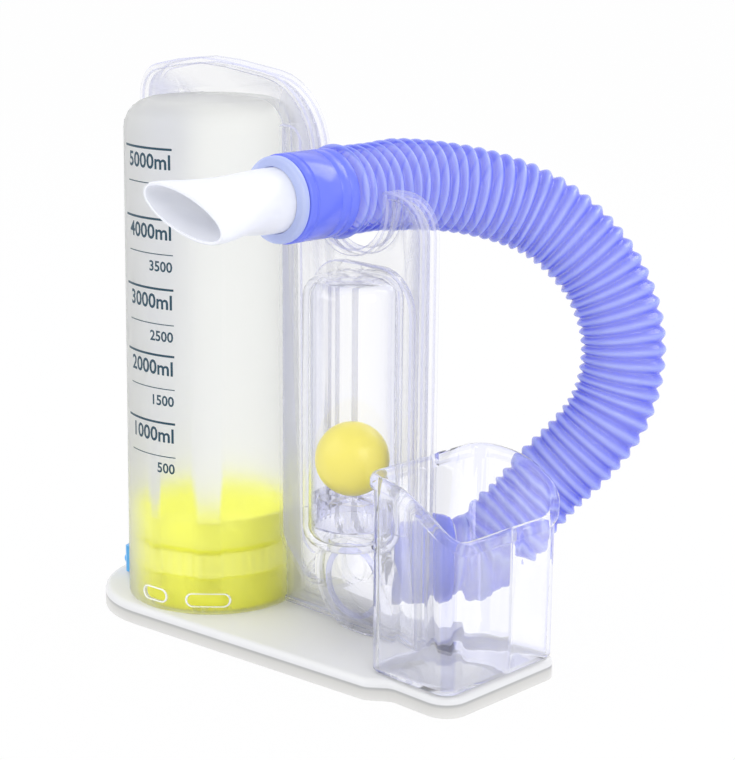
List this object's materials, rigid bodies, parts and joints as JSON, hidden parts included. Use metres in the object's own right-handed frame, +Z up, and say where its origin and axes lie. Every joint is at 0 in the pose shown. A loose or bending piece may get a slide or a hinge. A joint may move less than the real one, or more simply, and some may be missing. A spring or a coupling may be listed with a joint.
{
  "type": "incentive spirometer",
  "caption": "Volumetric incentive spirometer: frosted cylinder with sliding piston, clear panel with flow ball tube, cup, corrugated hose and mouthpiece hung in a notch.",
  "frame": {"origin": "middle of the footprint of all fixed pieces, on the underside of the base", "axes": "+Z up, +X along the panel from the cylinder to the cup, +Y to the back, away from the mouthpiece"},
  "size_m": [0.181, 0.1729, 0.1998],
  "materials": {
    "base_plastic": "satin",
    "clear_plastic": "polished",
    "frosted_plastic": "frosted",
    "ball_plastic": "satin",
    "piston_plastic": "satin",
    "marker_plastic": "satin",
    "cuff_plastic": "gloss",
    "hose_plastic": "gloss",
    "collar_plastic": "gloss",
    "mouthpiece_plastic": "frosted"
  },
  "bodies": {
    "stand": {"base": "base_plastic", "front_panel": "clear_plastic", "rear_panel": "clear_plastic", "volume_cylinder": "frosted_plastic", "air_duct": "clear_plastic", "plenum_shell": "clear_plastic", "plenum_ring": "clear_plastic", "chamber_frame": "clear_plastic", "ball_tube": "clear_plastic", "ball_seat": "clear_plastic", "marker_rail": "clear_plastic", "front_cup": "clear_plastic", "rear_cup": "clear_plastic", "rear_elbow": "clear_plastic", "port_spigot": "clear_plastic", "lower_cuff": "cuff_plastic", "hose": "hose_plastic", "upper_cuff": "cuff_plastic", "mouthpiece_collar": "collar_plastic", "mouthpiece": "mouthpiece_plastic"},
    "piston": {"piston_crown": "piston_plastic", "piston_rib_band": "piston_plastic", "piston_skirt": "piston_plastic"},
    "ball": {"flow_ball": "ball_plastic"},
    "marker": {"goal_marker": "marker_plastic"}
  },
  "joints": [
    {"name": "piston_slide", "type": "slide", "parent": "stand", "child": "piston", "axis": [0, 0, 1], "range_m": [0, 0.1335]},
    {"name": "ball_slide", "type": "slide", "parent": "stand", "child": "ball", "axis": [0, 0, 1], "range_m": [0, 0.047]},
    {"name": "marker_slide", "type": "slide", "parent": "stand", "child": "marker", "axis": [0, 0, 1], "range_m": [0, 0.154]}
  ]
}
